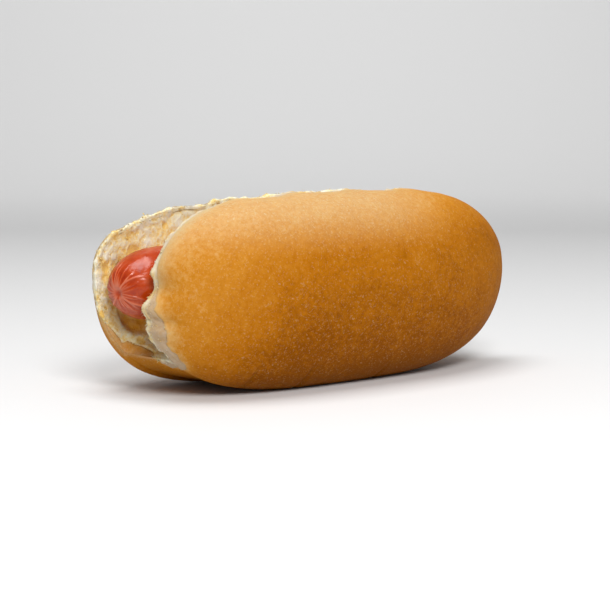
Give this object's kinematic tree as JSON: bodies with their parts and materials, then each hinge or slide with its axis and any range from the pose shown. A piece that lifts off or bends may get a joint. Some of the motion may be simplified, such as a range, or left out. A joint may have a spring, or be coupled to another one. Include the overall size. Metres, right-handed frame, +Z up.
{
  "type": "hot dog",
  "caption": "Plain hot dog: a soft golden bun, split from above and hinged along its base, round a frankfurter whose tip shows at the open end.",
  "frame": {"origin": "middle of the whole's footprint, on the surface that the bun stands on", "axes": "+X along the bun, towards the end where the domed half reaches further; -Y towards the domed half; +Z up, the way the split opens"},
  "size_m": [0.1534, 0.0682, 0.0624],
  "materials": {
    "bun": "soft baked crust, golden brown, with a pale torn crumb inside",
    "frankfurter": "cooked sausage skin, orange red and softly glossy"
  },
  "bodies": {
    "root": {"bun": "bun", "frankfurter": "frankfurter"}
  },
  "joints": []
}
